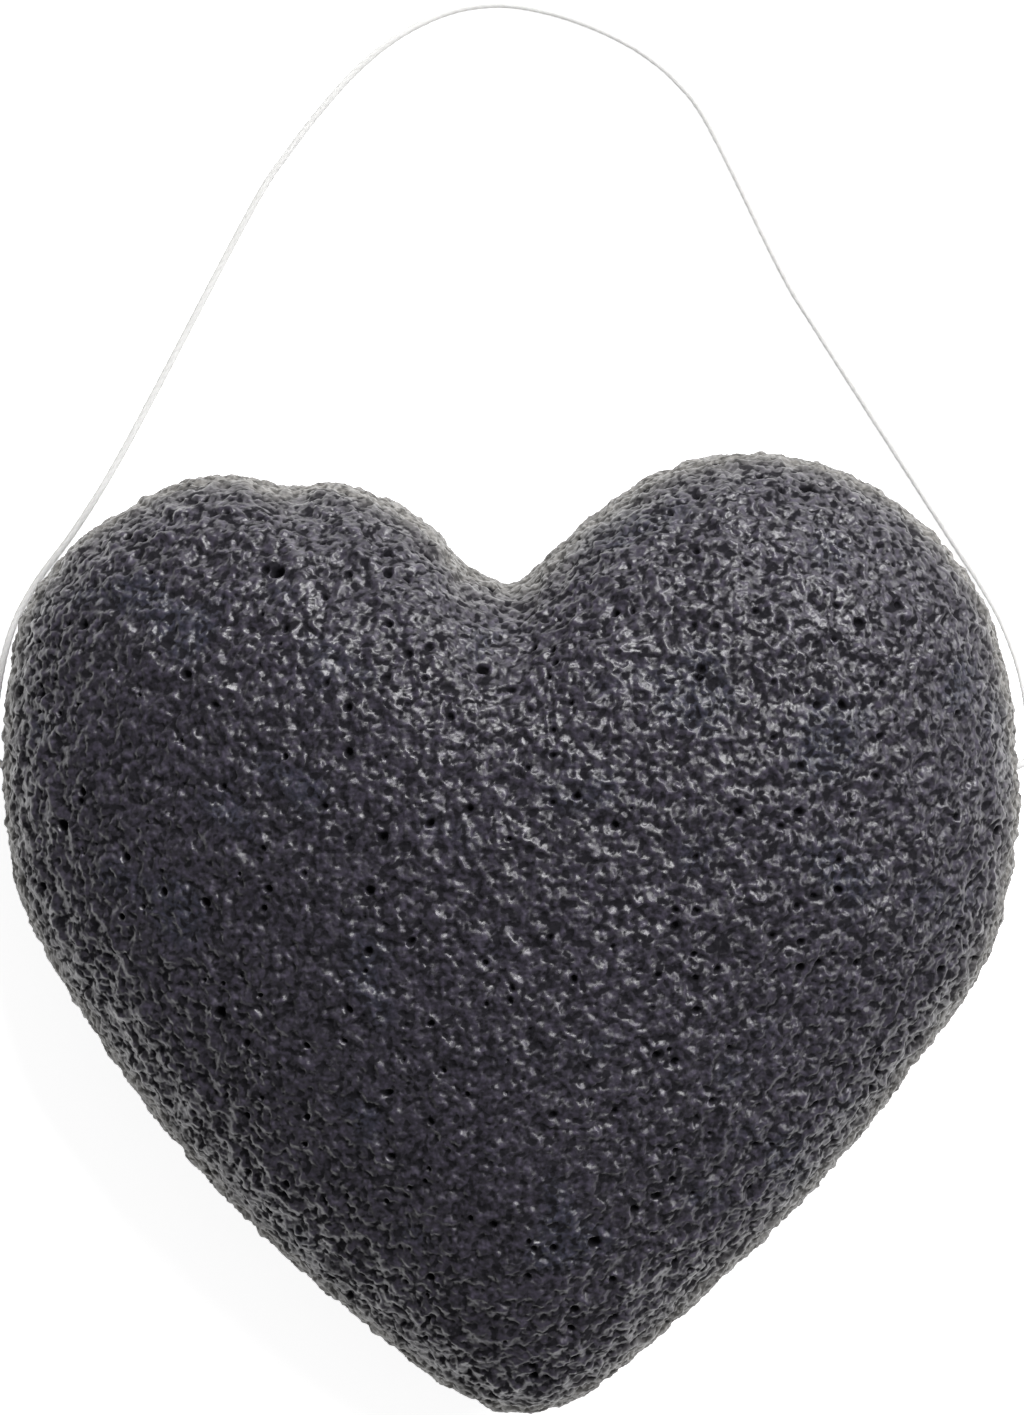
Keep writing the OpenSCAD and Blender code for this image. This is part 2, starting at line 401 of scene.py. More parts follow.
def ramp(tree, value, low, high, to_low=0.0, to_high=1.0, smooth=True):
    """A value mapped from one range to another, held at its ends."""
    node = put(tree, "ShaderNodeMapRange", interpolation_type="SMOOTHSTEP" if smooth else "LINEAR")
    for name, given in (("Value", value), ("From Min", low), ("From Max", high),
                        ("To Min", to_low), ("To Max", to_high)):
        feed(tree, node.inputs[name], given)
    return node.outputs[0]


def mix_colour(tree, share, a, b):
    """A Mix node for colours, with its colour sockets by number; returns its output."""
    node = put(tree, "ShaderNodeMix", data_type="RGBA")
    feed(tree, node.inputs[0], share)
    feed(tree, node.inputs[6], a)
    feed(tree, node.inputs[7], b)
    return node.outputs[2]


def tinted(colour, share):
    """A colour times a share."""
    return tuple(share * c for c in colour)


def open_group(name, kind, inputs, outputs):
    """A new node group with named sockets; returns the tree and its input and output nodes."""
    tree = bpy.data.node_groups.new(name, kind)
    for direction, sockets in (("INPUT", inputs), ("OUTPUT", outputs)):
        for label, socket_type in sockets:
            tree.interface.new_socket(label, in_out=direction, socket_type=socket_type)
    return tree, tree.nodes.new("NodeGroupInput"), tree.nodes.new("NodeGroupOutput")


def plain_object(name, vertices, edges=(), faces=()):
    """A mesh object at the origin from lists of points, edges and faces."""
    mesh = bpy.data.meshes.new(name)
    mesh.from_pydata([tuple(v) for v in vertices], list(edges), list(faces))
    mesh.update()
    made = bpy.data.objects.new(name, mesh)
    bpy.context.scene.collection.objects.link(made)
    return made


def settle(piece):
    """Turns the piece and its modifiers into a plain mesh."""
    graph = bpy.context.evaluated_depsgraph_get()
    finished = bpy.data.meshes.new_from_object(
        piece.evaluated_get(graph), preserve_all_data_layers=True, depsgraph=graph)
    old = piece.data
    piece.modifiers.clear()
    piece.data = finished
    bpy.data.meshes.remove(old)
    finished.name = piece.name
    return finished


def grow(piece, tree, values):
    """Runs a geometry tree on the piece with the named inputs, and keeps the plain result."""
    modifier = piece.modifiers.new(tree.name, "NODES")
    modifier.node_group = tree
    for item in tree.interface.items_tree:
        if item.item_type == "SOCKET" and item.in_out == "INPUT" and item.name in values:
            modifier[item.identifier] = values[item.name]
    return settle(piece)


# ---- shaders ----


def drift_group():
    """Slow and quick variation over a surface, shared by the foam and the cotton."""
    name = "Surface drift"
    if name in bpy.data.node_groups:
        return bpy.data.node_groups[name]
    tree, given, result = open_group(
        name, "ShaderNodeTree",
        [("Place", "NodeSocketVector"), ("Slow size", "NodeSocketFloat"),
         ("Quick size", "NodeSocketFloat")],
        [("Slow", "NodeSocketFloat"), ("Quick", "NodeSocketFloat")])
    for label, size, detail in (("Slow", "Slow size", 2.0), ("Quick", "Quick size", 4.0)):
        scale = calc(tree, "DIVIDE", 1.0, given.outputs[size])
        noise = put(tree, "ShaderNodeTexNoise",
                    {"Vector": given.outputs["Place"], "Scale": scale, "Detail": detail})
        feed(tree, result.inputs[label], ramp(tree, noise.outputs[0], *DRIFT_NOISE, smooth=False))
    return tree


def new_material(name):
    """An empty material; returns it with its tree, its Principled shader and Object coordinates."""
    material = bpy.data.materials.new(name)
    material.use_nodes = True
    tree = material.node_tree
    tree.nodes.clear()
    shader = tree.nodes.new("ShaderNodeBsdfPrincipled")
    output = tree.nodes.new("ShaderNodeOutputMaterial")
    tree.links.new(shader.outputs[0], output.inputs[0])
    place = tree.nodes.new("ShaderNodeTexCoord").outputs["Object"]
    return material, tree, shader, place


def foam_material(finish):
    """Damp charcoal foam: a wet, crumpled skin that shines in patches, broken by dull pits with
    painted shade in them, with painted light on its high spots and painted sheen towards its edge.
    """
    material, tree, shader, place = new_material("Charcoal konjac foam")
    pit = put(tree, "ShaderNodeAttribute", attribute_name="pit_depth").outputs["Fac"]
    crumple = put(tree, "ShaderNodeAttribute", attribute_name="crumple").outputs["Fac"]
    smooth = put(tree, "ShaderNodeAttribute", attribute_name="smooth_normal").outputs["Vector"]
    upward = put(tree, "ShaderNodeSeparateXYZ", {"Vector": smooth}).outputs[2]
    smooth = put(tree, "ShaderNodeVectorTransform", {"Vector": smooth}, vector_type="NORMAL",
                 convert_from="OBJECT", convert_to="WORLD").outputs[0]
    facing = put(tree, "ShaderNodeLayerWeight", {"Blend": 0.5, "Normal": smooth}).outputs["Facing"]
    # Painted sheen: towards the edge as it is seen, a paler colour is mixed in, where thin cell
    # walls would catch the light at a grazing angle. The flat back gets no painted sheen at any
    # angle.
    rim = calc(tree, "MULTIPLY", ramp(tree, facing, *RIM_FACING), ramp(tree, upward, *FLAT_BACK))
    drift = put(tree, "ShaderNodeGroup", node_tree=drift_group())
    for label, value in (("Place", place), ("Slow size", SLOW_SIZE),
                         ("Quick size", finish.patch_size)):
        feed(tree, drift.inputs[label], value)
    hole = ramp(tree, crumple, finish.hole_share - finish.hole_edge,
                finish.hole_share + finish.hole_edge, 1.0, 0.0)
    closed = calc(tree, "MULTIPLY", calc(tree, "SUBTRACT", 1.0, hole),
                  calc(tree, "SUBTRACT", 1.0, ramp(tree, pit, *PIT_DULL)))

    # Colour: drifting flesh, navy patches, painted light on the high spots, painted sheen towards
    # the edge, flecks, painted shade in the pinholes and pits
    darker, paler = (tinted(finish.flesh, share) for share in FLESH_DRIFT)
    flesh = mix_colour(tree, drift.outputs["Slow"], darker, paler)
    navy = put(tree, "ShaderNodeTexNoise", {"Vector": place, "Scale": NAVY_SCALE, "Detail": 1.0})
    navy = ramp(tree, navy.outputs[0], *NAVY_NOISE, 0.0, NAVY_SHARE)
    flesh = mix_colour(tree, navy, flesh, tuple(finish.navy))
    # Painted light: paler where the creases stand highest
    flesh = mix_colour(tree, ramp(tree, crumple, *PROUD_LIGHT_CREASE), flesh,
                       tinted(finish.flesh, finish.proud))
    # Painted sheen: the paler rim colour, then a paler still one at the very edge
    flesh = mix_colour(tree, calc(tree, "MULTIPLY", rim, RIM_SHEEN_SHARE), flesh, tuple(finish.rim))
    flesh = mix_colour(tree, ramp(tree, rim, *FRINGE_RIM, 0.0, FRINGE_SHEEN_SHARE), flesh,
                       tuple(finish.fringe_sheen))
    flecks = put(tree, "ShaderNodeTexNoise",
                 {"Vector": place, "Scale": 1.0 / finish.fleck_size, "Detail": 1.0})
    flecks = ramp(tree, flecks.outputs[0], *FLECK_NOISE, 1.0 - finish.fleck_contrast,
                  1.0 + finish.fleck_contrast, smooth=False)
    flesh = vector_calc(tree, "SCALE", flesh, scale=flecks)
    # Painted shade in the pinholes at the crease bottoms, fainter towards the edge as it is seen,
    # then in the pits, darker with their depth
    hollow_shade = calc(tree, "MULTIPLY", hole, ramp(tree, rim, 0.0, 1.0, *HOLLOW_SHADE_SHARES))
    flesh = mix_colour(tree, hollow_shade, flesh, tuple(finish.pit))
    flesh = mix_colour(tree, ramp(tree, pit, *PIT_SHADE), flesh, tuple(finish.pit))
    feed(tree, shader.inputs["Base Color"], flesh)

    # Gloss: a film of water that is thick on some patches and ends at the pits
    patches = drift.outputs["Quick"]
    skin = ramp(tree, patches, 0.0, 1.0, finish.dull_roughness, finish.wet_roughness, smooth=False)
    feed(tree, shader.inputs["Roughness"],
         ramp(tree, closed, 0.0, 1.0, finish.pit_roughness, skin, smooth=False))
    shader.inputs["Specular IOR Level"].default_value = finish.gloss
    shader.inputs["Coat Roughness"].default_value = finish.coat_roughness
    wet = ramp(tree, patches, 0.0, 1.0, finish.wet_least, finish.wet_most, smooth=False)
    wet = calc(tree, "MULTIPLY", wet, ramp(tree, rim, 0.0, 1.0, 1.0, RIM_WET_SHARE))
    feed(tree, shader.inputs["Coat Weight"], calc(tree, "MULTIPLY", wet, closed))
    grit = put(tree, "ShaderNodeTexNoise",
               {"Vector": place, "Scale": 1.0 / finish.grit_size, "Detail": 1.0})
    bump = put(tree, "ShaderNodeBump", {"Strength": 1.0, "Distance": finish.grit_height,
                                        "Height": grit.outputs[0]})
    feed(tree, shader.inputs["Normal"], bump.outputs[0])
    return material


def cotton_material(colour):
    """Undyed twisted cotton: fibres that run along each strand, with soft painted shade in the
    grooves.
    """
    name = "Undyed cotton string"
    if name in bpy.data.materials:
        return bpy.data.materials[name]
    material, tree, shader, place = new_material(name)
    along = put(tree, "ShaderNodeAttribute", attribute_name="strand_place").outputs["Vector"]
    fibres = put(tree, "ShaderNodeTexNoise", {"Vector": along, "Scale": FIBRE_SCALE, "Detail": 4.0,
                                              "Roughness": 0.65})
    drift = put(tree, "ShaderNodeGroup", node_tree=drift_group())
    for label, value in (("Place", place), ("Slow size", COTTON_SLOW_SIZE),
                         ("Quick size", COTTON_QUICK_SIZE)):
        feed(tree, drift.inputs[label], value)
    darker, paler = (tinted(colour, share) for share in COTTON_DRIFT)
    tone = mix_colour(tree, drift.outputs["Slow"], darker, paler)
    groove = put(tree, "ShaderNodeAttribute", attribute_name="groove").outputs["Fac"]
    # Painted shade in the grooves between the strands, added to the darker streaks along the fibres
    shade = calc(tree, "ADD", ramp(tree, groove, *GROOVE_SHADE_RANGE, 0.0, GROOVE_SHADE),
                 ramp(tree, fibres.outputs[0], *FIBRE_NOISE, FIBRE_SHADE, 0.0))
    tone = mix_colour(tree, shade, tone, tinted(colour, SHADE_TONE))
    feed(tree, shader.inputs["Base Color"], tone)
    feed(tree, shader.inputs["Roughness"],
         ramp(tree, drift.outputs["Quick"], 0.0, 1.0, *COTTON_ROUGHNESS))
    # Light goes right through the thin fibres, so the shaded side stays pale
    shader.inputs["Subsurface Weight"].default_value = 1.0
    shader.inputs["Subsurface Radius"].default_value = (1.0, 1.0, 1.0)
    shader.inputs["Subsurface Scale"].default_value = COTTON_DEPTH
    shader.inputs["Specular IOR Level"].default_value = 0.2
    bump = put(tree, "ShaderNodeBump", {"Strength": 0.5, "Distance": FIBRE_HEIGHT,
                                        "Height": fibres.outputs[0]})
    feed(tree, shader.inputs["Normal"], bump.outputs[0])
    return material


def floor_material():
    """Matte white floor that reads as white in the picture and keeps the object's shadow."""
    material, tree, shader, _ = new_material("White studio floor")
    shader.inputs["Base Color"].default_value = (0.92, 0.92, 0.92, 1.0)
    shader.inputs["Roughness"].default_value = 0.9
    shader.inputs["Specular IOR Level"].default_value = 0.1
    path = tree.nodes.new("ShaderNodeLightPath")
    seen = calc(tree, "MAXIMUM", path.outputs["Is Camera Ray"],
                calc(tree, "MAXIMUM", path.outputs["Is Glossy Ray"],
                     path.outputs["Is Transmission Ray"]))
    shader.inputs["Emission Color"].default_value = (1.0, 1.0, 1.0, 1.0)
    feed(tree, shader.inputs["Emission Strength"], calc(tree, "MULTIPLY", seen, FLOOR_GLOW))
    return material


# ---- stage ----


class KONJAC_OT_make_stage(Operator):
    """Make the camera, the pale floor and the soft studio light"""

    bl_idname = "konjac.make_stage"
    bl_label = "Make the stage"

    def execute(self, context):
        scene = context.scene
        studio = scene.konjac_studio
        scene.view_settings.view_transform = "Standard"
        self.make_camera(scene, studio)
        self.make_floor(scene)
        self.make_light(scene, studio)
        self.make_sky(scene, studio)
        return {"FINISHED"}

    def make_camera(self, scene, studio):
        data = bpy.data.cameras.new("Camera")
        data.lens = studio.lens
        data.sensor_width = SENSOR_WIDTH
        centre = Vector(studio.view_centre)
        distance = studio.view_height * studio.lens / data.sensor_width
        data.clip_start, data.clip_end = (distance * share for share in CLIP_SHARES)
        camera = bpy.data.objects.new("Camera", data)
        camera.location = centre + Vector((0.0, 0.0, distance))
        scene.collection.objects.link(camera)
        scene.camera = camera

    def make_floor(self, scene):
        corners = [(x * FLOOR_HALF, y * FLOOR_HALF, -FLOOR_DROP)
                   for x, y in ((-1, -1), (1, -1), (1, 1), (-1, 1))]
        floor = plain_object("Floor", corners, faces=[(0, 1, 2, 3)])
        floor.data.materials.append(floor_material())

    def make_light(self, scene, studio):
        for name, place, power in (("Right lamp", RIGHT_LAMP_PLACE, studio.right_strength),
                                   ("Upper lamp", UPPER_LAMP_PLACE, studio.upper_strength)):
            data = bpy.data.lights.new(name, "AREA")
            data.shape = "DISK"
            data.size = LAMP_SIZE
            data.energy = power
            lamp = bpy.data.objects.new(name, data)
            lamp.location = place
            lamp.rotation_mode = "QUATERNION"
            lamp.rotation_quaternion = (-Vector(place)).to_track_quat("-Z", "Y")
            lamp.visible_camera = False
            scene.collection.objects.link(lamp)

    def make_sky(self, scene, studio):
        world = bpy.data.worlds.new("Studio white")
        world.use_nodes = True
        tree = world.node_tree
        tree.nodes.clear()
        path = tree.nodes.new("ShaderNodeLightPath")
        back = put(tree, "ShaderNodeBackground", {"Color": (1.0, 1.0, 1.0)})
        seen = calc(tree, "MAXIMUM", path.outputs["Is Camera Ray"],
                    path.outputs["Is Transmission Ray"])
        feed(tree, back.inputs["Strength"],
             ramp(tree, seen, 0.0, 1.0, studio.sky_strength, 1.0, smooth=False))
        output = tree.nodes.new("ShaderNodeOutputWorld")
        tree.links.new(back.outputs[0], output.inputs[0])
        scene.world = world


# ---- string ----


def smoothed(a, b, c, d, steps):
    """Points on smooth curves from each b towards its c, with a before and d after them."""
    rows = []
    for k in range(steps):
        t = k / steps
        rows.append(0.5 * (2 * b + (c - a) * t + (2 * a - 5 * b + 4 * c - d) * t ** 2
                           + (3 * b - a - 3 * c + d) * t ** 3))
    return np.stack(rows, axis=1).reshape(-1, b.shape[1])


def through(points, steps):
    """Points on a smooth curve through the given ones, steps to each stretch."""
    ends = np.vstack([2 * points[:1] - points[1:2], points, 2 * points[-1:] - points[-2:-1]])
    return np.vstack([smoothed(ends[:-3], ends[1:-2], ends[2:-1], ends[3:], steps), points[-1:]])


def evenly(line, spacing):
    """The same line with points about that far apart."""
    along = np.concatenate([[0], np.cumsum(np.linalg.norm(np.diff(line, axis=0), axis=1))])
    at = np.linspace(0, along[-1], max(2, math.ceil(along[-1] / spacing) + 1))
    return np.stack([np.interp(at, along, line[:, k]) for k in range(3)], axis=1)


def twist_tree():
    """Geometry tree that turns a line of points into a string of twisted strands."""
    name = "Twisted string"
    if name in bpy.data.node_groups:
        return bpy.data.node_groups[name]
    tree, given, result = open_group(
        name, "GeometryNodeTree",
        [("Geometry", "NodeSocketGeometry"), ("Radius", "NodeSocketFloat"),
         ("Plies", "NodeSocketInt"), ("Twist", "NodeSocketFloat"), ("Groove", "NodeSocketFloat"),
         ("Spacing", "NodeSocketFloat"), ("Cotton", "NodeSocketMaterial")],
        [("Geometry", "NodeSocketGeometry")])
    radius = given.outputs["Radius"]
    curve = put(tree, "GeometryNodeMeshToCurve", {"Mesh": given.outputs["Geometry"]}).outputs[0]
    curve = put(tree, "GeometryNodeResampleCurve",
                {"Curve": curve, "Length": given.outputs["Spacing"]}, mode="LENGTH").outputs[0]
    ring = put(tree, "GeometryNodeCurvePrimitiveCircle",
               {"Resolution": STRING_SIDES, "Radius": radius}).outputs[0]
    spot = tree.nodes.new("GeometryNodeInputPosition").outputs[0]

    def kept(geometry, label, value, kind):
        return put(tree, "GeometryNodeStoreNamedAttribute",
                   {"Geometry": geometry, "Name": label, "Value": value}, data_type=kind).outputs[0]

    def recalled(label, kind):
        return put(tree, "GeometryNodeInputNamedAttribute", {"Name": label},
                   data_type=kind).outputs[0]

    run = tree.nodes.new("GeometryNodeSplineParameter").outputs["Length"]
    curve = kept(curve, "strand_along", run, "FLOAT")
    ring = kept(ring, "strand_round", spot, "FLOAT_VECTOR")
    tube = put(tree, "GeometryNodeCurveToMesh",
               {"Curve": curve, "Profile Curve": ring, "Fill Caps": True}).outputs[0]
    along = recalled("strand_along", "FLOAT")
    across = put(tree, "ShaderNodeSeparateXYZ",
                 {"Vector": recalled("strand_round", "FLOAT_VECTOR")}).outputs
    turn = calc(tree, "MULTIPLY", calc(tree, "DIVIDE", along, given.outputs["Twist"]), 2 * math.pi)
    angle = calc(tree, "SUBTRACT", calc(tree, "ARCTAN2", across[1], across[0]), turn)
    # Each strand is a round lobe, with a sharp groove between it and the next
    half = calc(tree, "MULTIPLY", calc(tree, "MULTIPLY", angle, given.outputs["Plies"]), 0.5)
    lobe = calc(tree, "ABSOLUTE", calc(tree, "COSINE", half))
    sink = calc(tree, "MULTIPLY", calc(tree, "SUBTRACT", lobe, 1.0), given.outputs["Groove"])
    fuzz = put(tree, "ShaderNodeTexNoise",
               {"Vector": spot, "Scale": FUZZ_SCALE, "Detail": 1.0}).outputs[0]
    fuzz = calc(tree, "MULTIPLY", calc(tree, "SUBTRACT", fuzz, FUZZ_LEVEL), FUZZ_SHARE)
    sink = calc(tree, "ADD", sink, fuzz)
    normal = tree.nodes.new("GeometryNodeInputNormal").outputs[0]
    place = put(tree, "ShaderNodeCombineXYZ",
                {"X": calc(tree, "COSINE", angle), "Y": calc(tree, "SINE", angle),
                 "Z": calc(tree, "MULTIPLY", along, FIBRE_RUN)}).outputs[0]
    tube = kept(tube, "strand_place", place, "FLOAT_VECTOR")
    tube = kept(tube, "groove", calc(tree, "SUBTRACT", 1.0, lobe), "FLOAT")
    offset = vector_calc(tree, "SCALE", normal, scale=calc(tree, "MULTIPLY", sink, radius))
    tube = put(tree, "GeometryNodeSetPosition", {"Geometry": tube, "Offset": offset}).outputs[0]
    for spent in ("strand_along", "strand_round"):
        tube = put(tree, "GeometryNodeRemoveAttribute",
                   {"Geometry": tube, "Name": spent}).outputs[0]
    tube = put(tree, "GeometryNodeSetShadeSmooth",
               {"Geometry": tube, "Shade Smooth": True}).outputs[0]
    tube = put(tree, "GeometryNodeRealizeInstances", {"Geometry": tube}).outputs[0]
    tube = put(tree, "GeometryNodeSetMaterial",
               {"Geometry": tube, "Material": given.outputs["Cotton"]}).outputs[0]
    feed(tree, result.inputs["Geometry"], tube)
    return tree


def twisted_string(name, line, settings):
    """A string of twisted strands along a line of points in metres."""
    piece = plain_object(name, line, edges=[(i, i + 1) for i in range(len(line) - 1)])
    grow(piece, twist_tree(), {
        "Radius": settings.diameter / 2, "Plies": settings.plies, "Twist": settings.twist,
        "Groove": settings.groove, "Spacing": STRING_SPACING,
        "Cotton": cotton_material(tuple(settings.colour))})
    return piece


class KONJAC_OT_make_hanging_string(Operator):
    """Make the free loop of string, from one side of the sponge round to the other"""

    bl_idname = "konjac.make_hanging_string"
    bl_label = "Make the hanging string"

    def execute(self, context):
        settings = context.scene.konjac_string
        left = np.array([LEFT_RUN_LOW[0], *CHANNEL_YZ])
        right = left * (-1, 1, 1)
        straight = np.array([settings.diameter, 0.0, 0.0])
        route = np.array(STRING_ROUTE) * MM
        stops = np.vstack([left - straight, route, right + straight])
        line = evenly(np.vstack([left, through(stops, CURVE_STEPS), right]), STRING_SPACING)
        piece = twisted_string("Hanging_string", line, settings)
        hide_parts("hanging_loop")
        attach(piece, "string")
        return {"FINISHED"}


class KONJAC_OT_make_inner_string(Operator):
    """Make the two straight runs of string in the foam, and give the knot between them the cotton
    material
    """

    bl_idname = "konjac.make_inner_string"
    bl_label = "Make the inner string"

    def execute(self, context):
        settings = context.scene.konjac_string
        for name, node, side in (("Inner_string_left", "inner_string_left", -1),
                                 ("Inner_string_right", "inner_string_right", 1)):
            ends = [(side * abs(x), *CHANNEL_YZ) for x in (KNOT_RIGHT, LEFT_RUN_LOW[0])]
            piece = twisted_string(name, evenly(np.array(ends), INNER_SPACING), settings)
            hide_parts(node)
            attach(piece, "string")
        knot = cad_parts["string_knot"]
        knot.data.materials.clear()
        knot.data.materials.append(cotton_material(tuple(settings.colour)))
        return {"FINISHED"}


# ---- foam heart ----


def heart_surface(sizes):
    """Points and faces of the smooth heart, by the rule of the part's source."""
    neighbours = [np.roll(OUTLINE_SHARES, k, axis=0) for k in (1, 0, -1, -2)]
    outline = smoothed(*neighbours, OUTLINE_STEPS)
    low, high = outline.min(axis=0), outline.max(axis=0)
    outline = (outline - (low + high) / 2) / (high - low) * (sizes.width, sizes.length)
    n = len(outline)
    # The rounder outline that the dome takes on towards its crown: the mean of neighbouring points
    reach_each_side = SOFT_REACH * OUTLINE_STEPS // 2
    soft = sum(np.roll(outline, k, axis=0) for k in range(-reach_each_side, reach_each_side + 1))
    soft /= 2 * reach_each_side + 1
    crown = np.array([0.0, sizes.crown_offset])
    rings = []

    def ring(reach, z):
        mixed = outline * reach + soft * (1 - reach)
        flat = crown + (mixed - crown) * reach
        rings.append(np.column_stack([flat, np.full(n, z)]))

    for angle in np.linspace(math.pi / 2, 0, EDGE_RINGS, endpoint=False):
        ring(1 - sizes.edge_in * (1 - math.cos(angle)) / (sizes.width / 2),
             sizes.belly_height * (1 - math.sin(angle)))
    for angle in np.linspace(0, math.pi / 2, DOME_RINGS, endpoint=False):
        rise = math.sin(angle) ** DOME_RISE_POWER
        ring(math.cos(angle) ** DOME_REACH_POWER,
             sizes.belly_height + (sizes.thickness - sizes.belly_height) * rise)
    points = np.vstack(rings + [[[*crown, 0.0]], [[*crown, sizes.thickness]]])
    back, top = len(points) - 2, len(points) - 1
    faces = [(back, (i + 1) % n, i) for i in range(n)]
    for k in range(len(rings) - 1):
        faces += [(k * n + i, k * n + (i + 1) % n, (k + 1) * n + (i + 1) % n, (k + 1) * n + i)
                  for i in range(n)]
    last = (len(rings) - 1) * n
    faces += [(top, last + i, last + (i + 1) % n) for i in range(n)]
    return points, faces


def press_dimples(mesh, sizes):
    """Presses in the dimples that the string pulls into the foam where it enters."""
    spots = np.empty(len(mesh.vertices) * 3, np.float32)
    mesh.vertices.foreach_get("co", spots)
    spots = spots.reshape(-1, 3)
    radius = ((sizes.dimple_width / 2) ** 2 + sizes.dimple_depth ** 2) / (2 * sizes.dimple_depth)
    y, z = CHANNEL_YZ
    for side in (-1, 1):
        middle = side * (abs(LEFT_RUN_LOW[0]) + radius)
        across = (spots[:, 1] - y) ** 2 + (spots[:, 2] - z) ** 2
        near = (across < radius ** 2) & (spots[:, 0] * side > LOBE_SIDE)
        wall = middle - side * np.sqrt(radius ** 2 - across[near])
        x = spots[near, 0]
        spots[near, 0] = np.minimum(x, wall) if side > 0 else np.maximum(x, wall)
    mesh.vertices.foreach_set("co", spots.ravel())
    mesh.update()


def pit_layer(tree, place, cell, smallest, largest, share, depth):
    """One size of pore: random pits in random cells; returns how deep they go at each point."""
    cells = put(tree, "ShaderNodeTexVoronoi",
                {"Vector": place, "Scale": calc(tree, "DIVIDE", 1.0, cell), "Randomness": 1.0},
                feature="F1")
    chance = put(tree, "ShaderNodeSeparateXYZ", {"Vector": cells.outputs["Color"]})
    radius = ramp(tree, chance.outputs[0], 1.0 - share, 1.0, smallest, largest, smooth=False)
    radius = calc(tree, "MULTIPLY", radius,
                  calc(tree, "GREATER_THAN", chance.outputs[0], 1.0 - share))
    inner = calc(tree, "MULTIPLY", radius, PIT_FLOOR_SHARE)
    outer = calc(tree, "ADD", radius, PIT_MARGIN)
    pit = ramp(tree, cells.outputs["Distance"], inner, outer, 1.0, 0.0)
    deep = calc(tree, "MULTIPLY", calc(tree, "DIVIDE", radius, largest), depth)
    return calc(tree, "MULTIPLY", pit, deep)


def pore_tree():
    """Geometry tree that gives the smooth heart its lumps and its three sizes of pore."""
    tree, given, result = open_group(
        "Foam pores", "GeometryNodeTree",
        [("Geometry", "NodeSocketGeometry")]
        + [(label, "NodeSocketFloat") for label in PORE_INPUTS]
        + [("Seed", "NodeSocketInt"), ("Foam", "NodeSocketMaterial")],
        [("Geometry", "NodeSocketGeometry")])
    spot = tree.nodes.new("GeometryNodeInputPosition").outputs[0]
    normal = tree.nodes.new("GeometryNodeInputNormal").outputs[0]
    shift = vector_calc(tree, "SCALE", SEED_STEP, scale=given.outputs["Seed"])
    place = vector_calc(tree, "ADD", spot, shift)
    # The pattern is bent a little, so that no pore is quite round
    bend = put(tree, "ShaderNodeTexNoise", {"Vector": place, "Scale": WARP_SCALE, "Detail": 2.0})
    bend = vector_calc(tree, "SUBTRACT", bend.outputs["Color"], (0.5, 0.5, 0.5))
    bent = vector_calc(tree, "ADD", place, vector_calc(tree, "SCALE", bend, scale=WARP_DISTANCE))
    fine, middle, large = (
        pit_layer(tree, bent, given.outputs[f"{size} cell"], *shares,
                  given.outputs[f"{size} depth"])
        for size, *shares in PORE_LAYERS)
    inward = calc(tree, "ADD", fine, calc(tree, "ADD", middle, large))

    def unevenness(size, detail):
        return put(tree, "ShaderNodeTexNoise", {
            "Vector": bent, "Scale": calc(tree, "DIVIDE", 1.0, given.outputs[size]),
            "Detail": detail, "Roughness": NOISE_ROUGHNESS}).outputs[0]

    def raised(noise, height):
        return calc(tree, "MULTIPLY", calc(tree, "SUBTRACT", noise, NOISE_LEVEL),
                    given.outputs[height])

    facing = put(tree, "ShaderNodeSeparateXYZ", {"Vector": normal}).outputs[2]
    edge = ramp(tree, calc(tree, "ABSOLUTE", facing), *RIM_SLOPE, 1.0, 0.0)
    creases = unevenness("Crumple size", given.outputs["Crumple detail"])
    deeper = calc(tree, "MULTIPLY_ADD", edge, given.outputs["Rim relief"], 1.0)
    outward = calc(tree, "ADD", calc(tree, "MULTIPLY", raised(creases, "Crumple height"), deeper),
                   calc(tree, "ADD", raised(unevenness("Lump size", detail=0.6), "Lump height"),
                        raised(unevenness("Swell size", detail=1.0), "Swell height")))
    height = calc(tree, "SUBTRACT", outward, inward)
    # The back rests flat, so nothing there stands proud
    back = ramp(tree, facing, *FLAT_BACK, 1.0, 0.0)
    proud = calc(tree, "MULTIPLY", calc(tree, "MAXIMUM", height, 0.0), back)
    height = calc(tree, "SUBTRACT", height, proud)
    offset = vector_calc(tree, "SCALE", normal, scale=height)
    depth_share = calc(tree, "DIVIDE", inward, FULL_PIT_DEPTH, clamp=True)
    kept = given.outputs["Geometry"]
    for name, value, kind in (("pit_depth", depth_share, "FLOAT"), ("crumple", creases, "FLOAT"),
                              ("smooth_normal", normal, "FLOAT_VECTOR")):
        kept = put(tree, "GeometryNodeStoreNamedAttribute",
                   {"Geometry": kept, "Name": name, "Value": value},
                   data_type=kind, domain="POINT").outputs[0]
    kept = put(tree, "GeometryNodeSetPosition", {"Geometry": kept, "Offset": offset}).outputs[0]
    kept = put(tree, "GeometryNodeSetShadeSmooth",
               {"Geometry": kept, "Shade Smooth": True}).outputs[0]
    kept = put(tree, "GeometryNodeRealizeInstances", {"Geometry": kept}).outputs[0]
    kept = put(tree, "GeometryNodeSetMaterial",
               {"Geometry": kept, "Material": given.outputs["Foam"]}).outputs[0]
    feed(tree, result.inputs["Geometry"], kept)
    return tree


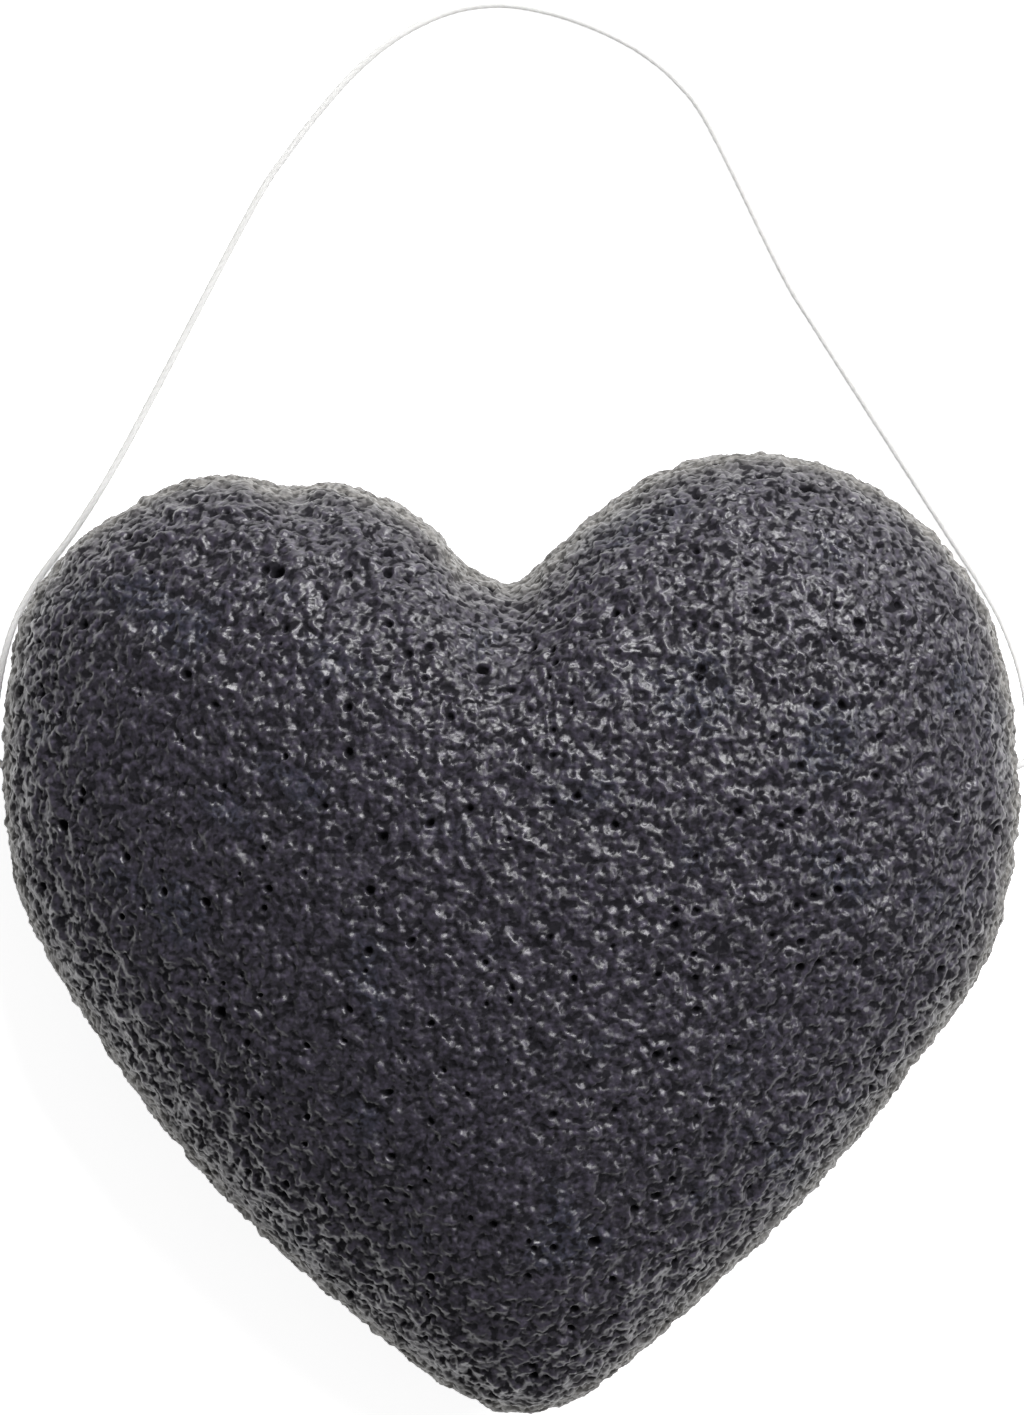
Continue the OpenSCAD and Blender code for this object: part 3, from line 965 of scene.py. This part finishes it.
class KONJAC_OT_make_sponge(Operator):
    """Make the porous foam heart"""

    bl_idname = "konjac.make_sponge"
    bl_label = "Make the sponge"

    def execute(self, context):
        sizes = context.scene.konjac_sponge
        pores = context.scene.konjac_pores
        points, faces = heart_surface(sizes)
        piece = plain_object("Foam_heart", points, faces=faces)
        remesh = piece.modifiers.new("Even mesh", "REMESH")
        remesh.mode = "VOXEL"
        remesh.voxel_size = sizes.grain_size * 1
        remesh.use_smooth_shade = True
        mesh = settle(piece)
        press_dimples(mesh, sizes)
        values = {label: getattr(pores, label.lower().replace(" ", "_")) for label in PORE_INPUTS}
        grow(piece, pore_tree(),
             {**values, "Seed": pores.seed, "Foam": foam_material(context.scene.konjac_foam)})
        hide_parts("sponge_body")
        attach(piece, "sponge")
        return {"FINISHED"}


# ---- panel and registration ----


class KONJAC_PT_sidebar(Panel):
    """Sizes, colours and buttons for the sponge"""

    bl_label = "Konjac sponge"
    bl_idname = "KONJAC_PT_sidebar"
    bl_space_type = "VIEW_3D"
    bl_region_type = "UI"
    bl_category = "Konjac sponge"

    def draw(self, context):
        layout = self.layout
        for group, title in (("konjac_studio", "Studio"), ("konjac_string", "String"),
                             ("konjac_sponge", "Sponge"), ("konjac_pores", "Pores"),
                             ("konjac_foam", "Foam colours")):
            box = layout.box()
            box.label(text=title)
            values = getattr(context.scene, group)
            for name in type(values).__annotations__:
                box.prop(values, name)
        for maker in MAKERS:
            layout.operator(maker.bl_idname)


GROUPS = (
    ("konjac_sponge", SpongeSizes), ("konjac_pores", PoreSettings), ("konjac_foam", FoamFinish),
    ("konjac_string", StringSettings), ("konjac_studio", StudioSettings),
)
MAKERS = (KONJAC_OT_make_stage, KONJAC_OT_make_hanging_string, KONJAC_OT_make_inner_string,
          KONJAC_OT_make_sponge)


def register():
    for kind in [group for _, group in GROUPS] + list(MAKERS) + [KONJAC_PT_sidebar]:
        bpy.utils.register_class(kind)
    for name, group in GROUPS:
        setattr(bpy.types.Scene, name, PointerProperty(type=group))


def unregister():
    for name, _ in GROUPS:
        delattr(bpy.types.Scene, name)
    for kind in [KONJAC_PT_sidebar] + list(reversed(MAKERS)) + [group for _, group in GROUPS]:
        bpy.utils.unregister_class(kind)


def main():
    register()
    bpy.ops.konjac.make_stage()
    bpy.ops.konjac.make_hanging_string()
    bpy.ops.konjac.make_inner_string()
    bpy.ops.konjac.make_sponge()


if __name__ == "__main__":
    main()
